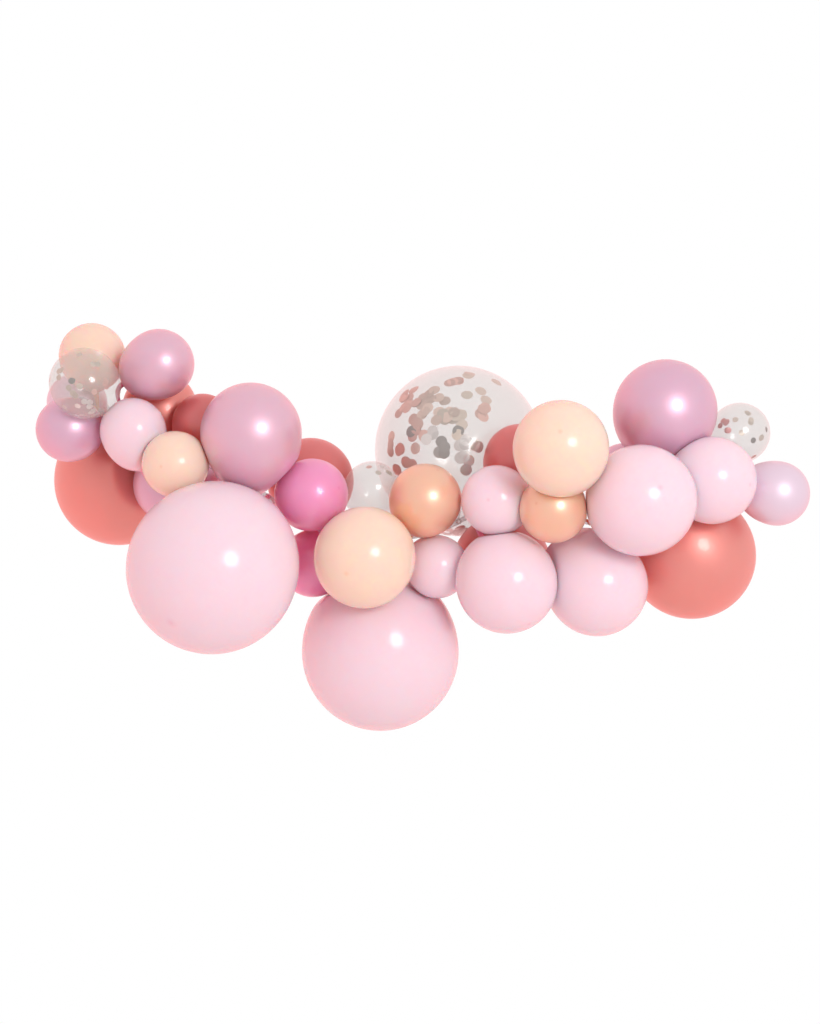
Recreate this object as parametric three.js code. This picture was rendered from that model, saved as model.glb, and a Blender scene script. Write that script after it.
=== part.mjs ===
// A balloon garland: round latex balloons tied by their necks to a clear plastic decorating strip.
// Millimetres, +Z up. +X runs along the garland to the right, +Y points back to the wall.
// The origin is the middle of the back face of the strip's left end tab.

import * as THREE from 'three';
import { mergeVertices } from 'three/addons/utils/BufferGeometryUtils.js';

// ---- driving dimensions ----

// the strip: a flat tape with a row of holes, its faces square to Y
const STRIP_THICKNESS = 0.6;
const STRIP_WIDTH = 13;
const STRIP_STEPS = 42;
const HOLE_RADIUS = 4.8;
const HOLE_SIDES = 5;
const HOLE_PITCH = 32;
const HOLE_COUNT = 55;
const FIRST_HOLE = 52; // from the strip's left end
const TAB_WIDTH = 26;
const TAB_LENGTH = 34;
const TAB_TAPER = 8;
const TAB_CORNER = 5;

// a balloon's lower end is drawn out by this share of its radius
const PEAR = 1.08;
const DRAWN_PEAR = 1.25; // on those that lean

// its tied end
const THROAT_RADIUS = 6.5; // where the body runs into the neck
const THROAT_LENGTH = 5;
const NECK_RADIUS = 3.2;
const NECK_LEAD = 14; // the neck turns square to the strip this far before its hole
const KNOT_RADIUS = 6;
const KNOT_START = 3; // past the strip's middle
const KNOT_MIDDLE = 9;
const KNOT_END = 16;

const TOUCH_GAP = 0.3; // left between two balloons that press on each other
const REACH = 1.2; // two balloons closer than this times their radii share a contact plane
const WELD = 0.001; // points closer than this become one

// facets by size, with the degrees from the crown at which the rings of the body lie
const FACETS = [
  { fromDiameter: 300, sides: 14, angles: [0, 22, 45, 68, 90, 112, 132, 150] },
  { fromDiameter: 215, sides: 12, angles: [0, 30, 60, 90, 120, 150] },
  { fromDiameter: 0, sides: 10, angles: [0, 30, 60, 90, 120, 150] },
];

// ---- the balloons and their finishes ----

const FINISHES = {
  pastel_pink: { color: '#f4cfdc', roughness: 0.5, metalness: 0 },
  peach: { color: '#fbcfae', roughness: 0.5, metalness: 0 },
  pearl_pink: { color: '#dfb2c8', roughness: 0.3, metalness: 0.4 },
  mauve_pearl: { color: '#d79cb6', roughness: 0.3, metalness: 0.4 },
  rose_gold: { color: '#e8877d', roughness: 0.35, metalness: 0.6 },
  dusty_rose: { color: '#c9615c', roughness: 0.35, metalness: 0.5 },
  magenta_pearl: { color: '#ec8fbd', roughness: 0.3, metalness: 0.3 },
  peach_pearl: { color: '#f1b08c', roughness: 0.3, metalness: 0.4 },
  lilac: { color: '#e6d2e0', roughness: 0.3, metalness: 0.3 },
  clear_latex: { color: '#dcd8d8', roughness: 0.1, metalness: 0, transparent: true, opacity: 0.3 },
  clear_plastic: { color: '#eef0f2', roughness: 0.2, metalness: 0, transparent: true, opacity: 0.5 },
};

// at is the middle of the round body, [x, y, z] from the middle of the garland; hole counts from
// the strip's left end; leans, where given, is the way the drawn-out lower end points
const BALLOONS = [
  { name: 'peach_top_left', finish: 'peach', diameter: 165, at: [-795, 5, 390], hole: 0 },
  { name: 'clear_confetti_left', finish: 'clear_latex', diameter: 170, at: [-783.5, -145, 310], hole: 2 },
  {
    name: 'pearl_pink_top_left', finish: 'pearl_pink', diameter: 171,
    at: [-617, -60, 365], hole: 4, leans: [-0.85, 0.3, -0.42],
  },
  { name: 'mauve_pearl_far_left', finish: 'mauve_pearl', diameter: 160, at: [-840, -60, 203], hole: 3 },
  {
    name: 'pink_small_left', finish: 'pastel_pink', diameter: 160,
    at: [-675, -100, 198], hole: 6, leans: [0.25, 0.1, -0.96],
  },
  {
    name: 'rose_gold_large_left', finish: 'rose_gold', diameter: 338,
    at: [-773, 255, 81], hole: 5, leans: [0.12, -0.87, 0.48],
  },
  {
    name: 'mauve_pearl_left_back', finish: 'mauve_pearl', diameter: 200,
    at: [-605, 80, 72], hole: 12, leans: [1, 0, 0.15],
  },
  { name: 'peach_small_left', finish: 'peach', diameter: 160, at: [-565, -150, 115], hole: 9 },
  { name: 'pink_largest_left', finish: 'pastel_pink', diameter: 403, at: [-466, -225, -133.5], hole: 15 },
  { name: 'rose_gold_left_back', finish: 'rose_gold', diameter: 190, at: [-640, 95, 265], hole: 7 },
  { name: 'dusty_rose_left', finish: 'dusty_rose', diameter: 155, at: [-517, -5, 218], hole: 11 },
  {
    name: 'pearl_pink_centre_left', finish: 'pearl_pink', diameter: 245,
    at: [-384, -135, 190], hole: 14, leans: [0.05, 0.4, -0.92],
  },
  {
    name: 'dusty_rose_centre_left_back', finish: 'dusty_rose', diameter: 221,
    at: [-255, 110, 80], hole: 18,
  },
  {
    name: 'magenta_pearl_centre_left', finish: 'magenta_pearl', diameter: 178,
    at: [-240, -85, 42], hole: 16,
  },
  {
    name: 'magenta_pearl_low_centre_left', finish: 'magenta_pearl', diameter: 170,
    at: [-245, 45, -130], hole: 22,
  },
  { name: 'peach_low_centre', finish: 'peach', diameter: 245, at: [-110, -145, -110], hole: 25 },
  { name: 'pink_large_bottom', finish: 'pastel_pink', diameter: 397, at: [-75, 60, -355], hole: 24 },
  { name: 'clear_confetti_small_centre', finish: 'clear_latex', diameter: 145, at: [-95, 15, 55], hole: 23 },
  { name: 'peach_pearl_centre', finish: 'peach_pearl', diameter: 178, at: [38, -70, 30], hole: 27 },
  { name: 'pink_small_centre', finish: 'pastel_pink', diameter: 172, at: [210, -112, 28], hole: 35 },
  { name: 'peach_pearl_centre_right', finish: 'peach_pearl', diameter: 163, at: [342, -175, 7], hole: 42 },
  {
    name: 'peach_centre_right', finish: 'peach', diameter: 225,
    at: [352, -265, 149], hole: 37, leans: [0.1, 0.95, -0.3],
  },
  { name: 'clear_confetti_largest', finish: 'clear_latex', diameter: 443, at: [129, 235, 165], hole: 31 },
  { name: 'dusty_rose_low_back', finish: 'dusty_rose', diameter: 257, at: [237, 115, -144], hole: 33 },
  { name: 'pink_small_low_centre', finish: 'pastel_pink', diameter: 156, at: [68, -32, -136], hole: 26 },
  { name: 'pink_low_centre_right', finish: 'pastel_pink', diameter: 246, at: [235, -115, -172], hole: 32 },
  {
    name: 'pink_low_right', finish: 'pastel_pink', diameter: 250,
    at: [461, -55, -181], hole: 40, leans: [-0.62, 0.3, 0.72],
  },
  { name: 'pink_right', finish: 'pastel_pink', diameter: 265, at: [550, -190, 28], hole: 44 },
  { name: 'pink_far_right', finish: 'pastel_pink', diameter: 213, at: [735, -110, 77], hole: 49 },
  { name: 'mauve_pearl_top_right', finish: 'mauve_pearl', diameter: 256, at: [632, -35, 250], hole: 47 },
  { name: 'clear_confetti_right', finish: 'clear_latex', diameter: 153, at: [834, 50, 200], hole: 53 },
  {
    name: 'lilac_far_right', finish: 'lilac', diameter: 160,
    at: [909, -36, 46], hole: 54, leans: [-0.93, 0.3, 0.2],
  },
  { name: 'rose_gold_large_right', finish: 'rose_gold', diameter: 325, at: [717.5, 85, -110], hole: 48 },
  { name: 'mauve_pearl_right_back', finish: 'mauve_pearl', diameter: 160, at: [545, 70, 95], hole: 45 },
  { name: 'dusty_rose_centre_back', finish: 'dusty_rose', diameter: 181, at: [276, 20, 131], hole: 34 },
  { name: 'lilac_far_left_back', finish: 'lilac', diameter: 150, at: [-852, 90, 280], hole: 1 },
];

const UP = new THREE.Vector3(0, 1, 0); // the way a lathe's axis runs

// ---- the strip ----

// the middle line of the strip, [x, z]: a swag pulled up and down by the balloons' necks
const ROUTE = [
  [-830, 280],
  [-620, 175],
  [-400, 65],
  [-180, -60],
  [40, -55],
  [260, 30],
  [480, -25],
  [680, 120],
  [850, 115],
];

const route = new THREE.CatmullRomCurve3(ROUTE.map(([x, z]) => new THREE.Vector3(x, 0, z)));
route.arcLengthDivisions = 2000;
const routeLength = route.getLength();

function holeCentre(number) {
  return route.getPointAt((FIRST_HOLE + number * HOLE_PITCH) / routeLength);
}

// half the strip's width at a distance from its left end: a tab at each end, with cut corners
function halfWidth(distance) {
  const fromEnd = Math.min(distance, routeLength - distance);
  if (fromEnd < TAB_CORNER) {
    return TAB_WIDTH / 2 - TAB_CORNER + fromEnd;
  }
  return fromEnd <= TAB_LENGTH ? TAB_WIDTH / 2 : STRIP_WIDTH / 2;
}

function stripStations() {
  const ends = [0, TAB_CORNER, TAB_LENGTH, TAB_LENGTH + TAB_TAPER];
  const first = ends[ends.length - 1];
  const middle = [];
  for (let step = 1; step < STRIP_STEPS; step += 1) {
    middle.push(first + ((routeLength - 2 * first) * step) / STRIP_STEPS);
  }
  const farEnds = ends.map((distance) => routeLength - distance).reverse();
  return [...ends, ...middle, ...farEnds];
}

function edgePoint(distance, side) {
  const middle = route.getPointAt(distance / routeLength);
  const along = route.getTangentAt(distance / routeLength);
  const out = halfWidth(distance) * side;
  return new THREE.Vector2(middle.x - along.z * out, middle.z + along.x * out);
}

function stripGeometry() {
  const stations = stripStations();
  const upper = stations.map((distance) => edgePoint(distance, 1));
  const lower = stations.map((distance) => edgePoint(distance, -1));
  const outline = new THREE.Shape([...lower, ...upper.reverse()]);
  for (let number = 0; number < HOLE_COUNT; number += 1) {
    const centre = holeCentre(number);
    const corners = [];
    for (let corner = 0; corner < HOLE_SIDES; corner += 1) {
      const turn = (2 * Math.PI * corner) / HOLE_SIDES;
      const x = centre.x + HOLE_RADIUS * Math.cos(turn);
      const z = centre.z + HOLE_RADIUS * Math.sin(turn);
      corners.push(new THREE.Vector2(x, z));
    }
    outline.holes.push(new THREE.Path(corners).closePath());
  }
  const solid = new THREE.ExtrudeGeometry(outline, { depth: STRIP_THICKNESS, bevelEnabled: false });
  return solid.rotateX(Math.PI / 2); // from y = -STRIP_THICKNESS to the back face at y = 0
}

// ---- the balloons ----

// the planes that its neighbours press flat, each a direction and a distance from its middle
function contactPlanes(balloon) {
  const planes = [];
  for (const other of BALLOONS) {
    const offset = new THREE.Vector3(...other.at).sub(new THREE.Vector3(...balloon.at));
    const apart = offset.length();
    const radius = balloon.diameter / 2;
    const otherRadius = other.diameter / 2;
    if (other !== balloon && apart < REACH * (radius + otherRadius)) {
      const share = (apart ** 2 + radius ** 2 - otherRadius ** 2) / (2 * apart);
      planes.push({ normal: offset.normalize(), distance: share - TOUCH_GAP / 2 });
    }
  }
  return planes;
}

// draws a point in towards the middle until no contact plane is crossed
function pressIn(point, middle, planes) {
  const ray = point.sub(middle);
  let scale = 1;
  for (const { normal, distance } of planes) {
    const reach = ray.dot(normal);
    if (reach > distance) {
      scale = Math.min(scale, distance / reach);
    }
  }
  return ray.multiplyScalar(scale).add(middle);
}

// rings from the crown to the end of the knot, each with a middle, a facing and a radius
function balloonRings(balloon, facets) {
  const radius = balloon.diameter / 2;
  const middle = new THREE.Vector3(...balloon.at);
  const through = new THREE.Vector3(0, -Math.sign(balloon.at[1]), 0); // its way through the strip
  const hole = holeCentre(balloon.hole).addScaledVector(UP, -STRIP_THICKNESS / 2);
  const turn = hole.clone().addScaledVector(through, -NECK_LEAD);
  const drawn = balloon.leans ? DRAWN_PEAR : PEAR;
  const axis = balloon.leans ? new THREE.Vector3(...balloon.leans) : turn.clone().sub(middle);
  axis.normalize();

  const rings = [];
  const facing = new THREE.Quaternion().setFromUnitVectors(UP, axis);
  const add = (point, ringRadius, isBody) => {
    rings.push({ point, radius: ringRadius, facing: facing.clone(), isBody });
  };
  const swing = (from, to) => {
    facing.premultiply(new THREE.Quaternion().setFromUnitVectors(from, to));
  };

  for (const degrees of facets.angles) {
    const angle = THREE.MathUtils.degToRad(degrees);
    const along = -radius * Math.cos(angle) * (degrees > 90 ? drawn : 1);
    add(middle.clone().addScaledVector(axis, along), radius * Math.sin(angle), true);
  }
  const throat = middle.clone().addScaledVector(axis, radius * drawn + THROAT_LENGTH);
  const neck = turn.clone().sub(throat).normalize();
  const halfway = axis.clone().add(neck).normalize();
  swing(axis, halfway);
  add(throat, THROAT_RADIUS, false);
  const bend = neck.clone().add(through).normalize();
  swing(halfway, bend);
  add(turn, NECK_RADIUS, false);
  swing(bend, through);
  const knot = [[KNOT_START, NECK_RADIUS], [KNOT_MIDDLE, KNOT_RADIUS], [KNOT_END, 0]];
  for (const [past, ringRadius] of knot) {
    add(hole.clone().addScaledVector(through, past), ringRadius, false);
  }
  return rings;
}

function balloonGeometry(balloon) {
  const facets = FACETS.find(({ fromDiameter }) => balloon.diameter >= fromDiameter);
  const rings = balloonRings(balloon, facets);
  const planes = contactPlanes(balloon);
  const middle = new THREE.Vector3(...balloon.at);
  const profile = rings.map((ring, number) => new THREE.Vector2(ring.radius, number));
  const lathe = new THREE.LatheGeometry(profile, facets.sides);
  const places = lathe.attributes.position;
  const point = new THREE.Vector3();
  for (let index = 0; index < places.count; index += 1) {
    point.fromBufferAttribute(places, index);
    const ring = rings[Math.round(point.y)];
    point.setY(0).applyQuaternion(ring.facing).add(ring.point);
    if (ring.isBody) {
      pressIn(point, middle, planes);
    }
    places.setXYZ(index, point.x, point.y, point.z);
  }
  lathe.deleteAttribute('normal');
  lathe.deleteAttribute('uv');
  return mergeVertices(lathe, WELD);
}

// ---- the garland ----

const tab = route.getPointAt(TAB_LENGTH / 2 / routeLength);
const group = new THREE.Group();
group.position.set(-tab.x, 0, -tab.z);

const stripMaterial = new THREE.MeshStandardMaterial(FINISHES.clear_plastic);
const strip = new THREE.Mesh(stripGeometry(), stripMaterial);
strip.name = 'decorating_strip';
group.add(strip);

for (const balloon of BALLOONS) {
  const material = new THREE.MeshStandardMaterial(FINISHES[balloon.finish]);
  const mesh = new THREE.Mesh(balloonGeometry(balloon), material);
  mesh.name = `balloon_${balloon.name}`;
  group.add(mesh);
}

export default group;
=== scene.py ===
# A balloon garland as it hangs: round latex balloons in pinks, peach, rose gold and clear
# confetti, tied by their necks to a clear plastic decorating strip. Metres, +X along the
# garland, +Y back to the wall, +Z up, from the back of the strip's left end tab.

import math

import bpy
from mathutils import Matrix, Quaternion, Vector


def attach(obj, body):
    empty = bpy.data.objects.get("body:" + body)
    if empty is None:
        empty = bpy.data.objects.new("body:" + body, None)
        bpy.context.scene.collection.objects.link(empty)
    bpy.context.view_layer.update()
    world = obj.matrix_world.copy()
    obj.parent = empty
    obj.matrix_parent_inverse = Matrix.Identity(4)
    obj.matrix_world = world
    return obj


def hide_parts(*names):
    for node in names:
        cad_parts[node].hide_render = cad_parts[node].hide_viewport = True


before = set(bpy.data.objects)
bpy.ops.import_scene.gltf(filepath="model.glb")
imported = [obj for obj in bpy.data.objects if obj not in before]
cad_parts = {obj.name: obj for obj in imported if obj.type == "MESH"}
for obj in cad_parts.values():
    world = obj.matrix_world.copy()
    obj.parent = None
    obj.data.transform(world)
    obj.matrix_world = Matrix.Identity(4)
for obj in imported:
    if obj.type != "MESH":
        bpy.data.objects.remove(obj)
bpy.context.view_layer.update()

# ---- the camera ----
# It stands level, four metres in front of the middle of the garland, at its height.

MM = 0.001
GARLAND_MIDDLE = Vector((814.795, 0, -272.397)) * MM
CAMERA_AWAY = 4.0
SEEN_HEIGHT = 2.56
SENSOR = 36

camera = bpy.data.objects.new("camera", bpy.data.cameras.new("camera"))
camera.data.sensor_width = SENSOR
camera.data.lens = SENSOR * CAMERA_AWAY / SEEN_HEIGHT
camera.location = GARLAND_MIDDLE - Vector((0, CAMERA_AWAY, 0))
camera.rotation_euler = (math.radians(90), 0, 0)
bpy.context.scene.collection.objects.link(camera)
bpy.context.scene.camera = camera

# ---- the studio ----
# A white room that is a little darker to the left and below, a round flash head in front to
# the right and above, and a pale floor two metres under the garland.

FLOOR_DROP = 2.0
FLOOR_RADIUS = 1.35
FLOOR_PAINT = "#efebe8"
FLOOR_WORN = "#f6f3f1"  # where the paint is mottled
FRONT_WALL = "#d9d3d5"
BACK_WALL = "#ffcccb"
ROOM_BRIGHTNESS = 1.18
BRIGHT_SIDE = (0.3, -0.75, 0.4)
FLASH_PLACE = Vector((1.85, -4.0, 0.95))
FLASH_DIAMETER = 1.45
FLASH_POWER = 66


def linear(hex_colour):
    """An sRGB hex colour as linear red, green, blue and alpha."""
    channels = [int(hex_colour[place:place + 2], 16) / 255 for place in (1, 3, 5)]
    return [c / 12.92 if c <= 0.04045 else ((c + 0.055) / 1.055) ** 2.4 for c in channels] + [1]


def add(tree, kind, inputs=None, **settings):
    """Adds a node with its settings, and its inputs as values or as other nodes' outputs."""
    node = tree.nodes.new(kind)
    for name, value in settings.items():
        setattr(node, name, value)
    for key, value in (inputs or {}).items():
        if isinstance(value, bpy.types.NodeSocket):
            tree.links.new(value, node.inputs[key])
        else:
            node.inputs[key].default_value = value
    return node


def new_material(name, **shader_values):
    """A Principled material with plain values on its shader, and that shader."""
    material = bpy.data.materials.new(name)
    material.use_nodes = True
    shader = material.node_tree.nodes["Principled BSDF"]
    for key, value in shader_values.items():
        shader.inputs[key.replace("_", " ")].default_value = value
    return material, shader


room = bpy.data.worlds.new("white_room")
room.use_nodes = True
room_tree = room.node_tree
room_tree.nodes.clear()
aim = add(room_tree, "ShaderNodeTexCoord").outputs["Generated"]
frontness = add(room_tree, "ShaderNodeVectorMath", {0: aim, 1: BRIGHT_SIDE},
                operation="DOT_PRODUCT")
front_share = add(room_tree, "ShaderNodeMapRange",
                  {"Value": frontness.outputs["Value"], "From Min": -0.65, "From Max": 0.45},
                  interpolation_type="SMOOTHSTEP")
wall_tone = add(room_tree, "ShaderNodeMix",
                {"Factor": front_share.outputs["Result"], "A": linear(BACK_WALL),
                 "B": linear(FRONT_WALL)}, data_type="RGBA")
seen = add(room_tree, "ShaderNodeLightPath").outputs["Is Camera Ray"]
walls = add(room_tree, "ShaderNodeBackground",
            {"Color": wall_tone.outputs["Result"], "Strength": ROOM_BRIGHTNESS})
backdrop = add(room_tree, "ShaderNodeBackground", {"Color": (1, 1, 1, 1)})
behind = add(room_tree, "ShaderNodeMixShader",
             {0: seen, 1: walls.outputs["Background"], 2: backdrop.outputs["Background"]})
add(room_tree, "ShaderNodeOutputWorld", {"Surface": behind.outputs["Shader"]})
bpy.context.scene.world = room
bpy.context.scene.view_settings.view_transform = "Standard"

flash = bpy.data.objects.new("flash_head", bpy.data.lights.new("flash_head", "AREA"))
flash.data.shape = "DISK"
flash.data.size = FLASH_DIAMETER
flash.data.energy = FLASH_POWER
flash.location = GARLAND_MIDDLE + FLASH_PLACE
flash.rotation_euler = (-FLASH_PLACE).to_track_quat("-Z", "Y").to_euler()
bpy.context.scene.collection.objects.link(flash)

# Painted board, matt: a faint mottle keeps it from looking like paper.
floor_paint, floor_shader = new_material("matt_painted_floor", Roughness=0.85)
mottle = add(floor_paint.node_tree, "ShaderNodeTexNoise", {"Scale": 3.0, "Detail": 4.0})
floor_tone = add(floor_paint.node_tree, "ShaderNodeMix",
                 {"Factor": mottle.outputs["Fac"], "A": linear(FLOOR_PAINT),
                  "B": linear(FLOOR_WORN)}, data_type="RGBA")
floor_paint.node_tree.links.new(floor_tone.outputs[2], floor_shader.inputs["Base Color"])
floor_place = Matrix.Translation(GARLAND_MIDDLE - Vector((0, 0, FLOOR_DROP)))
bpy.ops.mesh.primitive_circle_add(vertices=96, radius=FLOOR_RADIUS, fill_type="NGON")
floor = bpy.context.object
floor.name = "floor"
floor.data.transform(floor_place)
floor.data.materials.append(floor_paint)

# ---- the decorating strip ----
# A thin tape of clear PET, blanked with a row of round holes and a wider tab at each end. It
# hangs in a swag with its faces square to the wall, and its tabs are fixed to the wall.

STRIP_THICKNESS = 0.6 * MM
STRIP_WIDTH = 13 * MM
TAB_WIDTH = 26 * MM
TAB_LENGTH = 34 * MM
TAB_TAPER = 8 * MM
TAB_CORNER = 5 * MM
HOLE_RADIUS = 4.8 * MM
HOLE_PITCH = 32 * MM
HOLE_COUNT = 55
FIRST_HOLE = 52 * MM
STRIP_STEP = 8 * MM  # between the stations that the edges are drawn through
ROUTE = [(-830, 280), (-620, 175), (-400, 65), (-180, -60), (40, -55), (260, 30), (480, -25),
         (680, 120), (850, 115)]  # the swag's middle line, across and up from the garland's middle


def route_stations(count=2000):
    """Points along the swag and their distances from its left end, a centripetal spline."""
    knots = [GARLAND_MIDDLE + Vector((x, 0, z)) * MM for x, z in ROUTE]
    knots = [2 * knots[0] - knots[1]] + knots + [2 * knots[-1] - knots[-2]]
    spans = len(ROUTE) - 1
    points = []
    for step in range(count + 1):
        span = min(int(spans * step / count), spans - 1)
        weight = spans * step / count - span
        a, b, c, d = knots[span:span + 4]
        before, here, after = [(q - p).length ** 0.5 for p, q in ((a, b), (b, c), (c, d))]
        start = ((b - a) / before - (c - a) / (before + here) + (c - b) / here) * here
        end = ((c - b) / here - (d - b) / (here + after) + (d - c) / after) * here
        points.append(b + start * weight + (3 * (c - b) - 2 * start - end) * weight ** 2
                      + (2 * (b - c) + start + end) * weight ** 3)
    distances = [0]
    for last, point in zip(points, points[1:]):
        distances.append(distances[-1] + (point - last).length)
    return points, distances


route_points, route_distances = route_stations()
route_length = route_distances[-1]


def on_route(distance):
    """The point of the swag at a distance from its left end."""
    place = 1
    while route_distances[place] < distance and place < len(route_distances) - 1:
        place += 1
    short = route_distances[place] - distance
    span = route_distances[place] - route_distances[place - 1]
    return route_points[place].lerp(route_points[place - 1], short / span)


def half_width(distance):
    """Half the strip's width: a tab with cut corners at each end, running into the tape."""
    from_end = min(distance, route_length - distance)
    into_tape = min(max((from_end - TAB_LENGTH) / TAB_TAPER, 0), 1)
    tab = TAB_WIDTH / 2 - max(TAB_CORNER - from_end, 0)
    return tab + (STRIP_WIDTH / 2 - tab) * into_tape


def new_tree(name, sockets):
    """A geometry tree with a Geometry input and output and these further named inputs."""
    tree = bpy.data.node_groups.new(name, "GeometryNodeTree")
    tree.interface.new_socket("Geometry", in_out="INPUT", socket_type="NodeSocketGeometry")
    tree.interface.new_socket("Geometry", in_out="OUTPUT", socket_type="NodeSocketGeometry")
    for socket, kind in sockets.items():
        tree.interface.new_socket(socket, in_out="INPUT", socket_type=f"NodeSocket{kind}")
    return tree, tree.nodes.new("NodeGroupInput").outputs


def end_tree(tree, geometry, material):
    """Closes a tree: real mesh rather than instances, with its material."""
    real = add(tree, "GeometryNodeRealizeInstances", {"Geometry": geometry})
    coated = add(tree, "GeometryNodeSetMaterial",
                 {"Geometry": real.outputs["Geometry"], "Material": material})
    add(tree, "NodeGroupOutput", {"Geometry": coated.outputs["Geometry"]})


def grow(name, mesh, tree, values):
    """Runs a tree on a mesh and keeps the result as a plain mesh object, riding on the garland."""
    seed = bpy.data.objects.new(name + "_seed", mesh)
    bpy.context.scene.collection.objects.link(seed)
    modifier = seed.modifiers.new(tree.name, "NODES")
    modifier.node_group = tree
    for item in tree.interface.items_tree:
        if item.in_out == "INPUT" and item.name in values:
            modifier[item.identifier] = values[item.name]
    grown = bpy.data.meshes.new_from_object(
        seed.evaluated_get(bpy.context.evaluated_depsgraph_get()))
    bpy.data.objects.remove(seed)
    grown.name = name
    piece = bpy.data.objects.new(name, grown)
    bpy.context.scene.collection.objects.link(piece)
    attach(piece, "root")
    return piece


punched_tape, tape_in = new_tree("punched_tape", {
    "Thickness": "Float", "Hole radius": "Float", "Hole pitch": "Float", "First hole": "Float",
    "Last hole": "Float", "Plastic": "Material"})
# the ribbon: the middle line drawn out to both edges, then to its thickness
middle_line = tape_in["Geometry"]
across = add(punched_tape, "GeometryNodeInputNamedAttribute", {"Name": "across"},
             data_type="FLOAT_VECTOR")
lower_edge = add(punched_tape, "GeometryNodeSetPosition",
                 {"Geometry": middle_line, "Offset": across.outputs["Attribute"]})
ribbon = add(punched_tape, "GeometryNodeExtrudeMesh",
             {"Mesh": lower_edge.outputs["Geometry"], "Offset Scale": 0.0}, mode="EDGES")
twice_up = add(punched_tape, "ShaderNodeVectorMath",
               {0: across.outputs["Attribute"], "Scale": -2.0}, operation="SCALE")
opened = add(punched_tape, "GeometryNodeSetPosition",
             {"Geometry": ribbon.outputs["Mesh"], "Selection": ribbon.outputs["Top"],
              "Offset": twice_up.outputs["Vector"]})
thick = add(punched_tape, "GeometryNodeExtrudeMesh",
            {"Mesh": opened.outputs["Geometry"], "Offset": (0, -1, 0),
             "Offset Scale": tape_in["Thickness"], "Individual": False}, mode="FACES")
back = add(punched_tape, "GeometryNodeFlipFaces", {"Mesh": opened.outputs["Geometry"]})
both = add(punched_tape, "GeometryNodeJoinGeometry", {"Geometry": back.outputs["Mesh"]})
punched_tape.links.new(thick.outputs["Mesh"], both.inputs["Geometry"])
tape = add(punched_tape, "GeometryNodeMergeByDistance",
           {"Geometry": both.outputs["Geometry"], "Distance": 0.01 * MM})
# the punches: a rod through every hole
swag = add(punched_tape, "GeometryNodeMeshToCurve", {"Mesh": middle_line})
holed_length = add(punched_tape, "GeometryNodeTrimCurve",
                   {"Curve": swag.outputs["Curve"], 4: tape_in["First hole"],
                    5: tape_in["Last hole"]}, mode="LENGTH")
hole_places = add(punched_tape, "GeometryNodeCurveToPoints",
                  {"Curve": holed_length.outputs["Curve"], "Length": tape_in["Hole pitch"]},
                  mode="LENGTH")
punch = add(punched_tape, "GeometryNodeMeshCylinder",
            {"Vertices": 24, "Radius": tape_in["Hole radius"], "Depth": 20 * MM})
punches = add(punched_tape, "GeometryNodeInstanceOnPoints",
              {"Points": hole_places.outputs["Points"], "Instance": punch.outputs["Mesh"]})
turned = add(punched_tape, "GeometryNodeRotateInstances",
             {"Instances": punches.outputs["Instances"],
              "Rotation": (math.radians(90), 0, 0), "Local Space": True})
rods = add(punched_tape, "GeometryNodeRealizeInstances",
           {"Geometry": turned.outputs["Instances"]})
holed = add(punched_tape, "GeometryNodeMeshBoolean", {"Mesh 1": tape.outputs["Geometry"]},
            operation="DIFFERENCE", solver="EXACT")
punched_tape.links.new(rods.outputs["Geometry"], holed.inputs["Mesh 2"])
end_tree(punched_tape, holed.outputs["Mesh"], tape_in["Plastic"])

# Clear PET, calendered: nearly colourless, glossy, with a faint haze.
clear_pet, _ = new_material("clear_pet_tape", Base_Color=linear("#e8ebee"), Roughness=0.16,
                            IOR=1.57, Alpha=0.42)
stations = [0, TAB_CORNER, TAB_LENGTH, TAB_LENGTH + TAB_TAPER]
steps = round((route_length - 2 * stations[-1]) / STRIP_STEP)
pace = (route_length - 2 * stations[-1]) / steps
stations = (stations + [stations[-1] + pace * step for step in range(1, steps)]
            + [route_length - distance for distance in reversed(stations)])
line = bpy.data.meshes.new("tape_line")
line.from_pydata([on_route(distance) for distance in stations],
                 [(n, n + 1) for n in range(len(stations) - 1)], [])
across_values = line.attributes.new("across", "FLOAT_VECTOR", "POINT")
for number, distance in enumerate(stations):
    ahead = on_route(min(distance + MM, route_length)) - on_route(max(distance - MM, 0))
    down = ahead.normalized().cross(Vector((0, -1, 0)))
    across_values.data[number].vector = down * half_width(distance)
strip = grow("punched_strip", line, punched_tape, {
    "Thickness": STRIP_THICKNESS, "Hole radius": HOLE_RADIUS, "Hole pitch": HOLE_PITCH,
    "First hole": FIRST_HOLE, "Last hole": FIRST_HOLE + HOLE_PITCH * (HOLE_COUNT - 0.9),
    "Plastic": clear_pet})
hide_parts("decorating_strip")

# ---- how a balloon is blown and tied ----
# Every balloon is one skin of latex, blown round, a little drawn out to its neck, and pressed
# flat where it meets its neighbours. The neck is pulled through a hole and knotted behind it.

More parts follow.
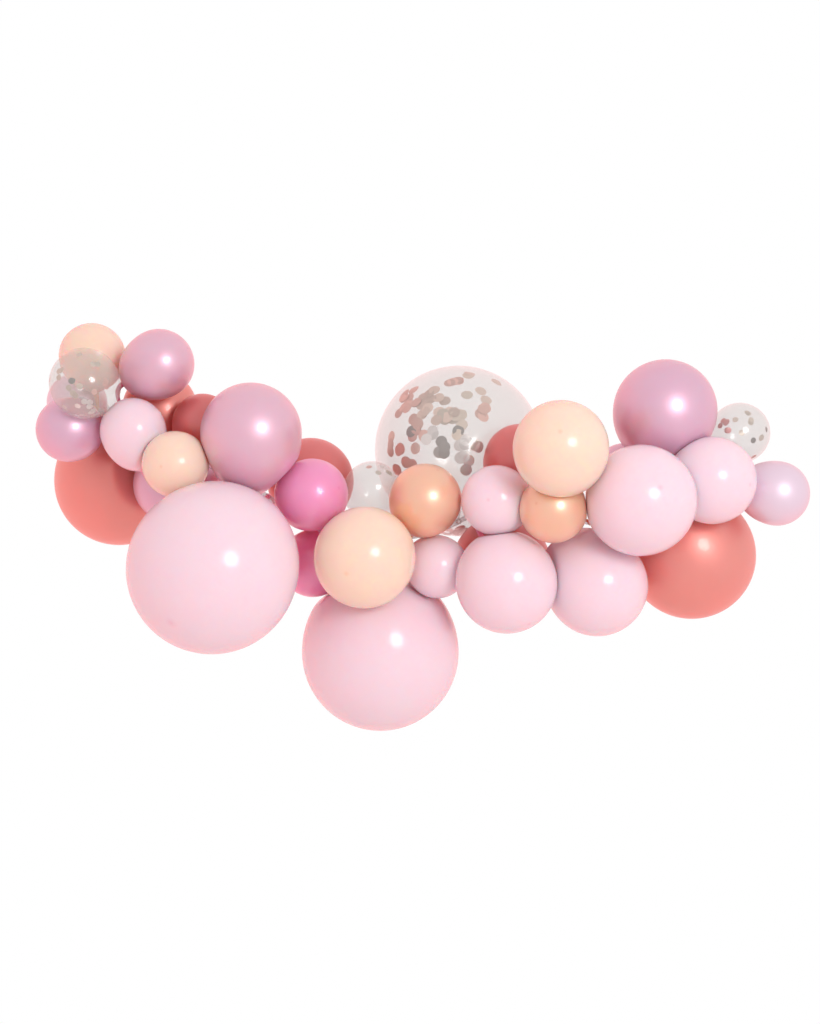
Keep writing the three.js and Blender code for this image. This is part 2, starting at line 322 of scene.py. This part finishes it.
BALLOONS = {  # name: (diameter, its middle from the garland's middle, hole, which way it leans)
    "peach_top_left": (165, (-795, 5, 390), 0, None),
    "clear_confetti_left": (170, (-783.5, -145, 310), 2, None),
    "pearl_pink_top_left": (171, (-617, -60, 365), 4, (-0.85, 0.3, -0.42)),
    "mauve_pearl_far_left": (160, (-840, -60, 203), 3, None),
    "pink_small_left": (160, (-675, -100, 198), 6, (0.25, 0.1, -0.96)),
    "rose_gold_large_left": (338, (-773, 255, 81), 5, (0.12, -0.87, 0.48)),
    "mauve_pearl_left_back": (200, (-605, 80, 72), 12, (1, 0, 0.15)),
    "peach_small_left": (160, (-565, -150, 115), 9, None),
    "pink_largest_left": (403, (-466, -225, -133.5), 15, None),
    "rose_gold_left_back": (190, (-640, 95, 265), 7, None),
    "dusty_rose_left": (155, (-517, -5, 218), 11, None),
    "pearl_pink_centre_left": (245, (-384, -135, 190), 14, (0.05, 0.4, -0.92)),
    "dusty_rose_centre_left_back": (221, (-255, 110, 80), 18, None),
    "magenta_pearl_centre_left": (178, (-240, -85, 42), 16, None),
    "magenta_pearl_low_centre_left": (170, (-245, 45, -130), 22, None),
    "peach_low_centre": (245, (-110, -145, -110), 25, None),
    "pink_large_bottom": (397, (-75, 60, -355), 24, None),
    "clear_confetti_small_centre": (145, (-95, 15, 55), 23, None),
    "peach_pearl_centre": (178, (38, -70, 30), 27, None),
    "pink_small_centre": (172, (210, -112, 28), 35, None),
    "peach_pearl_centre_right": (163, (342, -175, 7), 42, None),
    "peach_centre_right": (225, (352, -265, 149), 37, (0.1, 0.95, -0.3)),
    "clear_confetti_largest": (443, (129, 235, 165), 31, None),
    "dusty_rose_low_back": (257, (237, 115, -144), 33, None),
    "pink_small_low_centre": (156, (68, -32, -136), 26, None),
    "pink_low_centre_right": (246, (235, -115, -172), 32, None),
    "pink_low_right": (250, (461, -55, -181), 40, (-0.62, 0.3, 0.72)),
    "pink_right": (265, (550, -190, 28), 44, None),
    "pink_far_right": (213, (735, -110, 77), 49, None),
    "mauve_pearl_top_right": (256, (632, -35, 250), 47, None),
    "clear_confetti_right": (153, (834, 50, 200), 53, None),
    "lilac_far_right": (160, (909, -36, 46), 54, (-0.93, 0.3, 0.2)),
    "rose_gold_large_right": (325, (717.5, 85, -110), 48, None),
    "mauve_pearl_right_back": (160, (545, 70, 95), 45, None),
    "dusty_rose_centre_back": (181, (276, 20, 131), 34, None),
    "lilac_far_left_back": (150, (-852, 90, 280), 1, None),
}
PEAR = 1.08  # how far the neck's half is drawn out, as a share of the radius
DRAWN_PEAR = 1.25  # on those that lean
SHOULDER_ANGLE = 158  # degrees from the crown at which the round body runs into the throat
THROAT_RADIUS = 6.5 * MM
THROAT_LENGTH = 5 * MM
NECK_RADIUS = 3.2 * MM
NECK_LEAD = 14 * MM  # the neck runs square to the strip this far before its hole
TOUCH_GAP = 0.3 * MM
REACH = 1.2  # closer than this times both radii, two balloons press on each other
PLEATS = 9.0
CROWN_SPOT = math.radians(4)  # the thicker latex opposite the neck
LARGE_RADIUS = 140 * MM
LARGE_RINGS = 64
SMALL_RINGS = 40
LARGE_AROUND = 96
SMALL_AROUND = 56
KNOT_TWIST = 0.04  # of a turn from ring to ring
SOFTNESS = 0.05  # how softly the skin runs into a pressed face, as a share of its distance
# past the strip's middle, in millimetres: where the neck, knot, tail and rolled lip lie, how
# wide they are, and how deep their pleats
KNOT_AND_LIP = [(0, 3.0, 0.35), (2.4, 3.0, 0.4), (3.6, 4.8, 0.45), (5.4, 6.0, 0.55),
                (7.6, 6.1, 0.6), (9.4, 5.0, 0.5), (10.6, 3.2, 0.4), (11.8, 3.0, 0.4),
                (14.0, 4.4, 0.45), (16.4, 6.3, 0.5), (17.4, 7.4, 0.25), (18.3, 7.8, 0.1),
                (19.0, 7.2, 0.1)]
LIP_INSIDE = [(0.1, 6.0, 0.8), (0.2, 4.6, 3.0), (0.3, 2.6, 5.5), (0.4, 0, 6.0)]  # and how sunk


def middle_and_radius(name):
    """A balloon's middle in the frame and its radius."""
    diameter, place, _, _ = BALLOONS[name]
    return GARLAND_MIDDLE + Vector(place) * MM, diameter * MM / 2


def pressed_feet(name):
    """The point of each plane that a neighbour presses flat that is nearest to the middle."""
    middle, radius = middle_and_radius(name)
    feet = []
    for other in BALLOONS:
        other_middle, other_radius = middle_and_radius(other)
        offset = other_middle - middle
        apart = offset.length
        if other != name and apart < REACH * (radius + other_radius):
            share = (apart ** 2 + radius ** 2 - other_radius ** 2) / (2 * apart)
            feet.append(offset.normalized() * (share - TOUCH_GAP / 2))
    return feet


def bezier(a, b, c, d, share):
    """A point on a cubic curve from a to d with handles b and c."""
    left = 1 - share
    return (a * left ** 3 + b * (3 * left ** 2 * share) + c * (3 * left * share ** 2)
            + d * share ** 3)


def balloon_rings(name):
    """The rings from crown to lip: place, radius, how blown, pleat depth, how gathered, sunk."""
    middle, radius = middle_and_radius(name)
    _, place, hole_number, leans = BALLOONS[name]
    through = Vector((0, -math.copysign(1, place[1]), 0))
    hole = on_route(FIRST_HOLE + hole_number * HOLE_PITCH) - Vector((0, STRIP_THICKNESS / 2, 0))
    turn = hole - through * NECK_LEAD
    drawn = DRAWN_PEAR if leans else PEAR
    axis = (Vector(leans) if leans else turn - middle).normalized()
    body_rings = LARGE_RINGS if radius > LARGE_RADIUS else SMALL_RINGS
    still = Vector((0, 0, 0))
    rings = []
    for step in range(body_rings + 1):
        angle = math.radians(SHOULDER_ANGLE * step / body_rings)
        along = -radius * math.cos(angle) * (drawn if angle > math.pi / 2 else 1)
        gathered = 0.25 * max(1 - angle / CROWN_SPOT, 0) + 0.3 * max(angle / math.pi - 0.55, 0)
        rings.append((middle + axis * along, radius * math.sin(angle), 1, 0, gathered, still))
    # the shoulder: from the drawn-out body, by an S curve, to the throat
    angle = math.radians(SHOULDER_ANGLE)
    start = Vector((-radius * math.cos(angle) * drawn, radius * math.sin(angle)))
    slope = Vector((math.sin(angle) * drawn, math.cos(angle))).normalized()
    end = Vector((radius * drawn + THROAT_LENGTH, THROAT_RADIUS))
    handle = (end - start).length * 0.45
    shoulder_rings = 12
    for step in range(1, shoulder_rings + 1):
        share = step / shoulder_rings
        along, ring_radius = bezier(start, start + slope * handle,
                                    end - Vector((1, -0.12)) * handle * 0.5, end, share)
        rings.append((middle + axis * along, ring_radius, 1 - share ** 2,
                      0.5 * MM * share ** 2, 0.1 + 0.9 * share, still))
    # the neck: bends from the throat to square with the strip
    throat = middle + axis * end.x
    reach = (turn - throat).length * 0.45
    neck_rings = max(8, round((turn - throat).length / (4 * MM)))
    for step in range(1, neck_rings + 1):
        share = step / neck_rings
        point = bezier(throat, throat + axis * reach, turn - through * reach, turn, share)
        width = THROAT_RADIUS + (NECK_RADIUS - THROAT_RADIUS) * min(share * 2, 1)
        rings.append((point, width, 0, 0.5 * MM, 1, still))
    for past, width, pleat in KNOT_AND_LIP:
        rings.append((hole + through * (past * MM), width * MM, 0, pleat * MM, 1, still))
    for past, width, sunk in LIP_INSIDE:
        place = rings[-1][0] + through * (0.1 * MM)
        rings.append((place, width * MM, 0, 0, 1, through * (-sunk * MM)))
    return rings


blown_latex, latex_in = new_tree("blown_latex", {
    "Middle": "Vector", "Around": "Int", "Softness": "Float", "Pleats": "Float",
    "Latex": "Material"})


def latex_attribute(name, data_type="FLOAT"):
    """The value of a named attribute, in the balloons' tree."""
    return add(blown_latex, "GeometryNodeInputNamedAttribute", {"Name": name},
               data_type=data_type).outputs["Attribute"]


# the middle line's points carry the ring radii, and the loose points are the pressed feet
parted = add(blown_latex, "GeometryNodeSeparateGeometry",
             {"Geometry": latex_in["Geometry"], "Selection": latex_attribute("is_foot", "BOOLEAN")})
middle_curve = add(blown_latex, "GeometryNodeMeshToCurve", {"Mesh": parted.outputs["Inverted"]})
ring_profile = add(blown_latex, "GeometryNodeCurvePrimitiveCircle",
                   {"Resolution": latex_in["Around"], "Radius": 1.0})
round_the_ring = add(blown_latex, "GeometryNodeSplineParameter").outputs["Factor"]
marked_ring = add(blown_latex, "GeometryNodeStoreNamedAttribute",
                  {"Geometry": ring_profile.outputs["Curve"], "Name": "around",
                   "Value": round_the_ring}, data_type="FLOAT")
swept = add(blown_latex, "GeometryNodeCurveToMesh",
            {"Curve": middle_curve.outputs["Curve"],
             "Profile Curve": marked_ring.outputs["Geometry"], "Scale": latex_attribute("ring")})
closed = add(blown_latex, "GeometryNodeMergeByDistance",
             {"Geometry": swept.outputs["Mesh"], "Distance": 0.02 * MM})
# pleats: the gathered latex of the neck, wound a little by the knot
wave_place = add(blown_latex, "ShaderNodeMath",
                 {0: latex_attribute("around"), 1: latex_in["Pleats"], 2: latex_attribute("wound")},
                 operation="MULTIPLY_ADD")
wave = add(blown_latex, "ShaderNodeMath",
           {0: add(blown_latex, "ShaderNodeMath", {0: wave_place.outputs["Value"], 1: 2 * math.pi},
                   operation="MULTIPLY").outputs["Value"]}, operation="SINE")
fold = add(blown_latex, "ShaderNodeMath", {0: wave.outputs["Value"], 1: latex_attribute("pleat")},
           operation="MULTIPLY")
outward = add(blown_latex, "GeometryNodeInputNormal").outputs["Normal"]
pleated = add(blown_latex, "GeometryNodeSetPosition",
              {"Geometry": closed.outputs["Geometry"],
               "Offset": add(blown_latex, "ShaderNodeVectorMath",
                             {0: outward, "Scale": fold.outputs["Value"]},
                             operation="SCALE").outputs["Vector"]})
# each neighbour in turn draws the skin in towards the middle, softly, behind its plane
foot_count = add(blown_latex, "GeometryNodeAttributeDomainSize",
                 {"Geometry": parted.outputs["Selection"]}, component="MESH")
press_start = add(blown_latex, "GeometryNodeRepeatInput")
press_end = add(blown_latex, "GeometryNodeRepeatOutput")
press_start.pair_with_output(press_end)
blown_latex.links.new(foot_count.outputs["Point Count"], press_start.inputs["Iterations"])
blown_latex.links.new(pleated.outputs["Geometry"], press_start.inputs["Geometry"])
place = add(blown_latex, "GeometryNodeInputPosition").outputs["Position"]
foot = add(blown_latex, "GeometryNodeSampleIndex",
           {"Geometry": parted.outputs["Selection"], "Value": place,
            "Index": press_start.outputs["Iteration"]}, data_type="FLOAT_VECTOR", domain="POINT")
ray = add(blown_latex, "ShaderNodeVectorMath", {0: place, 1: latex_in["Middle"]},
          operation="SUBTRACT").outputs["Vector"]
toward = add(blown_latex, "ShaderNodeVectorMath", {0: ray, 1: foot.outputs["Value"]},
             operation="DOT_PRODUCT").outputs["Value"]
to_plane = add(blown_latex, "ShaderNodeVectorMath",
               {0: foot.outputs["Value"], 1: foot.outputs["Value"]},
               operation="DOT_PRODUCT").outputs["Value"]
share_of_way = add(blown_latex, "ShaderNodeMath", {0: toward, 1: to_plane},
                   operation="DIVIDE").outputs["Value"]
held_back = add(blown_latex, "ShaderNodeMath",
                {0: share_of_way, 1: 1.0, 2: latex_in["Softness"]},
                operation="SMOOTH_MIN").outputs["Value"]
shorter = add(blown_latex, "ShaderNodeMath", {0: held_back, 1: share_of_way},
              operation="DIVIDE").outputs["Value"]
only_blown = add(blown_latex, "ShaderNodeMix",
                 {"Factor": latex_attribute("blown"), "A": 1.0, "B": shorter}, data_type="FLOAT")
shorter_ray = add(blown_latex, "ShaderNodeVectorMath",
                  {0: ray, "Scale": only_blown.outputs["Result"]}, operation="SCALE")
pressed_place = add(blown_latex, "ShaderNodeVectorMath",
                    {0: shorter_ray.outputs["Vector"], 1: latex_in["Middle"]}, operation="ADD")
facing_it = add(blown_latex, "FunctionNodeCompare", {0: share_of_way, 1: 0.3},
                data_type="FLOAT", operation="GREATER_THAN")
pressed = add(blown_latex, "GeometryNodeSetPosition",
              {"Geometry": press_start.outputs["Geometry"],
               "Selection": facing_it.outputs["Result"],
               "Position": pressed_place.outputs["Vector"]})
blown_latex.links.new(pressed.outputs["Geometry"], press_end.inputs["Geometry"])
sunk_lip = add(blown_latex, "GeometryNodeSetPosition",
               {"Geometry": press_end.outputs["Geometry"],
                "Offset": latex_attribute("sunk", "FLOAT_VECTOR")})
smooth = add(blown_latex, "GeometryNodeSetShadeSmooth",
             {"Geometry": sunk_lip.outputs["Geometry"]})
end_tree(blown_latex, smooth.outputs["Geometry"], latex_in["Latex"])


def blow(name, latex):
    """Blows one balloon in its latex, in place of its plain node."""
    middle, radius = middle_and_radius(name)
    rings = balloon_rings(name)
    feet = pressed_feet(name)
    line = bpy.data.meshes.new(name + "_line")
    line.from_pydata([ring[0] for ring in rings] + feet,
                     [(n, n + 1) for n in range(len(rings) - 1)], [])
    from_knot = len(rings) - len(KNOT_AND_LIP) - len(LIP_INSIDE)
    columns = {attribute: [ring[column] for ring in rings] + [0] * len(feet) for attribute, column
               in (("ring", 1), ("blown", 2), ("pleat", 3), ("gathered", 4))}
    columns["wound"] = [max(n - from_knot, 0) * KNOT_TWIST for n in range(len(line.vertices))]
    columns["is_foot"] = [n >= len(rings) for n in range(len(line.vertices))]
    columns["sunk"] = [n for ring in rings for n in ring[5]] + [0] * (3 * len(feet))
    kinds = {"is_foot": ("BOOLEAN", "value"), "sunk": ("FLOAT_VECTOR", "vector")}
    for attribute, values in columns.items():
        kind, field = kinds.get(attribute, ("FLOAT", "value"))
        line.attributes.new(attribute, kind, "POINT")
        line.attributes[attribute].data.foreach_set(field, values)
    skin = grow("skin_" + name, line, blown_latex, {
        "Middle": middle, "Around": LARGE_AROUND if radius > LARGE_RADIUS else SMALL_AROUND,
        "Softness": SOFTNESS, "Pleats": PLEATS, "Latex": latex})
    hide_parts("balloon_" + name)
    return skin


def latex_material(name, stretched, gathered, mottle=0.06, **shader_values):
    """Coloured latex: thin and pale where it is stretched, deeper where it is gathered."""
    material, shader = new_material(name, **shader_values)
    tree = material.node_tree
    thick = add(tree, "ShaderNodeAttribute", attribute_name="gathered").outputs["Fac"]
    at = add(tree, "ShaderNodeTexCoord").outputs["Object"]
    cloud = add(tree, "ShaderNodeTexNoise", {"Vector": at, "Scale": 28.0, "Detail": 3.0})
    share = add(tree, "ShaderNodeMath", {0: cloud.outputs["Fac"], 1: mottle, 2: thick},
                operation="MULTIPLY_ADD", use_clamp=True)
    colour = add(tree, "ShaderNodeMix",
                 {"Factor": share.outputs["Value"], "A": linear(stretched),
                  "B": linear(gathered)}, data_type="RGBA")
    tree.links.new(colour.outputs[2], shader.inputs["Base Color"])
    return material


# ---- the pastel pink balloons ----
# Natural latex dyed a pale matt pink, dipped and blown nearly to full size. Stretched thin it is
# almost white, it glows a little where light comes through, and it has a soft shine.

pastel_pink = latex_material("pastel_pink_latex", "#f1dde5", "#e88aa6", Roughness=0.2,
                             Subsurface_Weight=1.0, Subsurface_Radius=(1.0, 0.22, 0.28),
                             Subsurface_Scale=0.06)
for name in ("pink_small_left", "pink_largest_left", "pink_large_bottom", "pink_small_centre",
             "pink_small_low_centre", "pink_low_centre_right", "pink_low_right", "pink_right",
             "pink_far_right"):
    blow(name, pastel_pink)

# ---- the peach balloons ----
# The same matt latex in a warm peach.

peach = latex_material("peach_latex", "#fadfcc", "#f39a66", Roughness=0.2,
                       Subsurface_Weight=1.0, Subsurface_Radius=(1.0, 0.25, 0.15),
                       Subsurface_Scale=0.06)
for name in ("peach_top_left", "peach_small_left", "peach_low_centre", "peach_centre_right"):
    blow(name, peach)

# ---- the pearl balloons ----
# Latex with a fine mica powder in it: a broad satin sheen under a sharp gloss, and light that
# comes through where two balloons meet.

PEARL_GLOSS = {"Coat_Weight": 0.5, "Coat_Roughness": 0.05}
PEARL_GLOW = {"Subsurface_Weight": 1.0, "Subsurface_Scale": 0.05}

pearl_pink = latex_material("pearl_pink_latex", "#e8c2d2", "#cf6f8e", Metallic=0.45,
                            Roughness=0.38, Subsurface_Radius=(1.0, 0.25, 0.35),
                            **PEARL_GLOSS, **PEARL_GLOW)
for name in ("pearl_pink_top_left", "pearl_pink_centre_left"):
    blow(name, pearl_pink)

mauve_pearl = latex_material("mauve_pearl_latex", "#e4bed2", "#b9607f", Metallic=0.5,
                             Roughness=0.38, Subsurface_Radius=(1.0, 0.25, 0.35),
                             **PEARL_GLOSS, **PEARL_GLOW)
for name in ("mauve_pearl_far_left", "mauve_pearl_left_back", "mauve_pearl_top_right",
             "mauve_pearl_right_back"):
    blow(name, mauve_pearl)

magenta_pearl = latex_material("magenta_pearl_latex", "#ee9fc4", "#d84a86", Metallic=0.15,
                               Roughness=0.36, Subsurface_Weight=1.0, Subsurface_Scale=0.12,
                               Subsurface_Radius=(1.0, 0.3, 0.6), **PEARL_GLOSS)
for name in ("magenta_pearl_centre_left", "magenta_pearl_low_centre_left"):
    blow(name, magenta_pearl)

peach_pearl = latex_material("peach_pearl_latex", "#f6caae", "#d97a4c", Metallic=0.45,
                             Roughness=0.36, Subsurface_Radius=(1.0, 0.3, 0.15),
                             **PEARL_GLOSS, **PEARL_GLOW)
for name in ("peach_pearl_centre", "peach_pearl_centre_right"):
    blow(name, peach_pearl)

lilac = latex_material("lilac_latex", "#ecd8e6", "#b98fab", Metallic=0.4, Roughness=0.4,
                       **PEARL_GLOSS)
for name in ("lilac_far_right", "lilac_far_left_back"):
    blow(name, lilac)

# ---- the rose gold and dusty rose balloons ----
# Metallic latex: so much fine powder in it that it mirrors the room softly.

rose_gold = latex_material("rose_gold_latex", "#ee9c92", "#c4514b", Metallic=0.5,
                           Roughness=0.45, Coat_Weight=0.4, Coat_Roughness=0.08,
                           Subsurface_Weight=1.0, Subsurface_Radius=(1.0, 0.2, 0.15),
                           Subsurface_Scale=0.05)
for name in ("rose_gold_large_left", "rose_gold_left_back", "rose_gold_large_right"):
    blow(name, rose_gold)

dusty_rose = latex_material("dusty_rose_latex", "#de7f7c", "#a03a3c", Metallic=0.45,
                            Roughness=0.42, Coat_Weight=0.4, Coat_Roughness=0.1,
                            Subsurface_Weight=1.0, Subsurface_Radius=(1.0, 0.2, 0.15),
                            Subsurface_Scale=0.05)
for name in ("dusty_rose_left", "dusty_rose_centre_left_back", "dusty_rose_low_back",
             "dusty_rose_centre_back"):
    blow(name, dusty_rose)

# ---- the clear balloons ----
# Undyed latex, blown until it is a clear grey-white film with a wet gloss.

clear_latex, _ = new_material("clear_latex_film", Base_Color=linear("#cfccc4"), Roughness=0.25,
                              IOR=1.5, Specular_IOR_Level=1.0, Alpha=0.32, Coat_Weight=1.0,
                              Coat_Roughness=0.12, Coat_IOR=2.2)
clear_skins = {name: blow(name, clear_latex)
               for name in ("clear_confetti_left", "clear_confetti_small_centre",
                            "clear_confetti_largest", "clear_confetti_right")}

# ---- the confetti ----
# Discs punched from thin foil, 30 mm in the large clear balloon and 15 mm in the small ones. They
# cling to the inside of the skin in drifts, a little curled, and the rest lies at the bottom.

CONFETTI = {  # name: (disc diameter, drifts); a drift's place is in degrees to the right of the
    # front and above the middle, then its spread in degrees, its number of discs and its tint
    "clear_confetti_largest": (30, [
        (10, 62, 3, 2, 0.1), (45, 52, 0, 1, 0), (18, 38, 6, 2, 0.2), (-6, 50, 5, 4, 0.9),
        (5, 37, 0, 1, 0), (-49, 32, 11, 12, 0.8), (-19, 30, 12, 16, 0.3), (-8, 17, 9, 8, 0),
        (-29, 14, 8, 8, 0.8), (-20, 7, 4, 4, 2), (16, 23, 5, 4, 0.8), (-35, 10, 0, 1, 3),
        (-2, 10, 0, 1, 3), (-12, 0, 4, 4, 2.8), (5, -4, 9, 10, 2.2), (-54, 2, 5, 4, 0.3),
        (-45, 0, 2, 3, 1), (-31, -1, 0, 1, 0), (-40, -11, 7, 5, 1), (0, -72, 9, 14, 2),
        (25, -62, 8, 6, 1)]),
    "clear_confetti_right": (15, [
        (6, 40, 5, 2, 0), (-20, 24, 0, 1, 0), (18, 18, 8, 2, 0), (-42, 14, 14, 6, 1),
        (-7, -2, 0, 1, 0), (34, -9, 5, 2, 0), (55, 6, 0, 1, 3), (17, -17, 0, 1, 3),
        (35, -56, 4, 1, 1), (0, -78, 12, 8, 2)]),
    "clear_confetti_left": (15, [
        (-11, 2, 4, 2, 3), (-34, 10, 8, 3, 0), (-16, 44, 9, 2, 0), (29, 24, 6, 2, 0),
        (28, -18, 0, 1, 1), (48, -5, 5, 3, 1), (-8, -16, 12, 5, 0), (-70, 6, 0, 1, 2),
        (0, -58, 22, 11, 2)]),
    "clear_confetti_small_centre": (15, [
        (-9, 54, 0, 1, 1), (43, 57, 0, 1, 2), (17, 37, 0, 1, 0), (55, 34, 9, 3, 0),
        (-10, -75, 14, 7, 1)]),
}
CURL = 0.08  # how far a disc's edges curl up, as a share of its radius
SKIN_GAP = 0.8 * MM  # each disc's middle lies between the next two times this from the skin
NEAREST_GAP = 1.5
FARTHEST_GAP = 5.0
DISC_TILT = 0.07
ANY_TURN = 6.28

confetti_drifts, drift_in = new_tree("confetti_drifts", {
    "Skin": "Object", "Middle": "Vector", "Disc radius": "Float", "Curl": "Float",
    "Gap": "Float", "Seed": "Int", "Foil": "Material"})


def drift_attribute(name, data_type="FLOAT"):
    """The value of a named attribute, in the confetti's tree."""
    return add(confetti_drifts, "GeometryNodeInputNamedAttribute", {"Name": name},
               data_type=data_type).outputs["Attribute"]


def drift_random(lowest, highest, salt, data_type="FLOAT"):
    """A random value for each disc, apart from the others by its salt."""
    seed = add(confetti_drifts, "ShaderNodeMath", {0: drift_in["Seed"], 1: salt}, operation="ADD")
    values = add(confetti_drifts, "FunctionNodeRandomValue", data_type=data_type)
    sockets = [socket for socket in values.inputs if socket.enabled]
    sockets[0].default_value = lowest
    sockets[1].default_value = highest
    confetti_drifts.links.new(seed.outputs["Value"], sockets[-1])
    return next(socket for socket in values.outputs if socket.enabled)


# each drift's point becomes its discs, strewn round its direction and cast onto the skin
strewn = add(confetti_drifts, "GeometryNodeDuplicateElements",
             {"Geometry": drift_in["Geometry"], "Amount": drift_attribute("discs", "INT")},
             domain="POINT")
sideways = add(confetti_drifts, "ShaderNodeVectorMath",
               {0: drift_random((-1, -1, -1), (1, 1, 1), 0, "FLOAT_VECTOR"),
                "Scale": drift_attribute("spread")}, operation="SCALE")
aimed = add(confetti_drifts, "ShaderNodeVectorMath",
            {0: add(confetti_drifts, "GeometryNodeInputPosition").outputs["Position"],
             1: sideways.outputs["Vector"]}, operation="ADD")
skin_shape = add(confetti_drifts, "GeometryNodeObjectInfo", {"Object": drift_in["Skin"]},
                 transform_space="RELATIVE")
inner_skin = add(confetti_drifts, "GeometryNodeRaycast",
                 {"Target Geometry": skin_shape.outputs["Geometry"],
                  "Source Position": drift_in["Middle"], "Ray Direction": aimed.outputs["Vector"],
                  "Ray Length": 1.0})
depth = add(confetti_drifts, "ShaderNodeMath",
            {0: drift_in["Gap"], 1: drift_random(-FARTHEST_GAP, -NEAREST_GAP, 1)},
            operation="MULTIPLY")
inward = add(confetti_drifts, "ShaderNodeVectorMath",
             {0: inner_skin.outputs["Hit Normal"], "Scale": depth.outputs["Value"]},
             operation="SCALE")
lying = add(confetti_drifts, "ShaderNodeVectorMath",
            {0: inner_skin.outputs["Hit Position"], 1: inward.outputs["Vector"]}, operation="ADD")
facing = add(confetti_drifts, "GeometryNodeStoreNamedAttribute",
             {"Geometry": strewn.outputs["Geometry"], "Name": "facing",
              "Value": inner_skin.outputs["Hit Normal"]}, data_type="FLOAT_VECTOR")
on_skin = add(confetti_drifts, "GeometryNodeSetPosition",
              {"Geometry": facing.outputs["Geometry"], "Position": lying.outputs["Vector"]})
# one disc, curled along its width
flat_disc = add(confetti_drifts, "GeometryNodeMeshCircle",
                {"Vertices": 24, "Radius": drift_in["Disc radius"]}, fill_type="TRIANGLE_FAN")
fine_disc = add(confetti_drifts, "GeometryNodeSubdivideMesh", {"Mesh": flat_disc.outputs["Mesh"],
                                                              "Level": 2})
disc_place = add(confetti_drifts, "ShaderNodeSeparateXYZ",
                 {0: add(confetti_drifts, "GeometryNodeInputPosition").outputs["Position"]})
disc_share = add(confetti_drifts, "ShaderNodeMath",
                 {0: disc_place.outputs["X"], 1: drift_in["Disc radius"]}, operation="DIVIDE")
disc_square = add(confetti_drifts, "ShaderNodeMath",
                  {0: disc_share.outputs["Value"], 1: disc_place.outputs["X"]},
                  operation="MULTIPLY")
disc_lift = add(confetti_drifts, "ShaderNodeMath",
                {0: disc_square.outputs["Value"], 1: drift_in["Curl"]}, operation="MULTIPLY")
disc_down = add(confetti_drifts, "ShaderNodeMath", {0: disc_lift.outputs["Value"], 1: -1.0},
                operation="MULTIPLY")
curled = add(confetti_drifts, "GeometryNodeSetPosition",
             {"Geometry": fine_disc.outputs["Mesh"],
              "Offset": add(confetti_drifts, "ShaderNodeCombineXYZ",
                            {"Z": disc_down.outputs["Value"]}).outputs["Vector"]})
upright = add(confetti_drifts, "FunctionNodeAlignRotationToVector",
              {"Vector": drift_attribute("facing", "FLOAT_VECTOR")}, axis="Z")
discs = add(confetti_drifts, "GeometryNodeInstanceOnPoints",
            {"Points": on_skin.outputs["Geometry"], "Instance": curled.outputs["Geometry"],
             "Rotation": upright.outputs["Rotation"]})
spun = add(confetti_drifts, "GeometryNodeRotateInstances",
           {"Instances": discs.outputs["Instances"], "Local Space": True,
            "Rotation": drift_random((-DISC_TILT, -DISC_TILT, 0),
                                     (DISC_TILT, DISC_TILT, ANY_TURN), 2, "FLOAT_VECTOR")})
shaded = add(confetti_drifts, "GeometryNodeStoreNamedAttribute",
             {"Geometry": spun.outputs["Instances"], "Name": "shade",
              "Value": drift_random(0.0, 1.0, 3)}, data_type="FLOAT", domain="INSTANCE")
round_discs = add(confetti_drifts, "GeometryNodeSetShadeSmooth",
                  {"Geometry": shaded.outputs["Geometry"]})
end_tree(confetti_drifts, round_discs.outputs["Geometry"], drift_in["Foil"])

# Metallised PET foil, its tint running from champagne through blush and silver to a painted dark
# reflection.
foil, foil_shader = new_material("metallised_pet_foil", Roughness=0.28, Metallic=0.55)
foil_tree = foil.node_tree
tint = add(foil_tree, "ShaderNodeAttribute", attribute_name="tint").outputs["Fac"]
shade = add(foil_tree, "ShaderNodeAttribute", attribute_name="shade").outputs["Fac"]
tint_share = add(foil_tree, "ShaderNodeMath", {0: tint, 1: 1 / 3}, operation="MULTIPLY")
foil_tints_and_painted_reflection = add(foil_tree, "ShaderNodeValToRGB", {"Fac": tint_share.outputs["Value"]})
foil_tints_and_painted_reflection.color_ramp.elements[0].color = linear("#e2d6c6")
# painted reflection: this dark grey stands for silver foil mirroring dark surroundings, not a foil
# colour
foil_tints_and_painted_reflection.color_ramp.elements[1].color = linear("#8a8a86")
for tint_place, hex_colour in ((1 / 3, "#efbfb2"), (2 / 3, "#f2f1ee")):
    foil_tints_and_painted_reflection.color_ramp.elements.new(tint_place).color = linear(hex_colour)
lighter = add(foil_tree, "ShaderNodeMapRange", {"Value": shade, "To Min": 0.72, "To Max": 1.08})
foil_colour = add(foil_tree, "ShaderNodeVectorMath",
                  {0: foil_tints_and_painted_reflection.outputs["Color"], "Scale": lighter.outputs["Result"]},
                  operation="SCALE")
foil_tree.links.new(foil_colour.outputs["Vector"], foil_shader.inputs["Base Color"])

for seed, (name, (disc_diameter, drifts)) in enumerate(CONFETTI.items()):
    points = bpy.data.meshes.new(name + "_drifts")
    directions = []
    for across, up, _, _, _ in drifts:
        turn = (Quaternion((0, 0, 1), math.radians(across))
                @ Quaternion((1, 0, 0), math.radians(-up)))
        directions.append(turn @ Vector((0, -1, 0)))
    points.from_pydata(directions, [], [])
    for attribute, kind, values in (("spread", "FLOAT", [math.radians(d[2]) for d in drifts]),
                                    ("discs", "INT", [d[3] for d in drifts]),
                                    ("tint", "FLOAT", [d[4] for d in drifts])):
        points.attributes.new(attribute, kind, "POINT")
        points.attributes[attribute].data.foreach_set("value", values)
    confetti = grow(name.replace("clear_", "") + "_discs", points, confetti_drifts, {
        "Skin": clear_skins[name], "Middle": middle_and_radius(name)[0],
        "Disc radius": disc_diameter * MM / 2, "Curl": CURL, "Gap": SKIN_GAP, "Seed": seed,
        "Foil": foil})
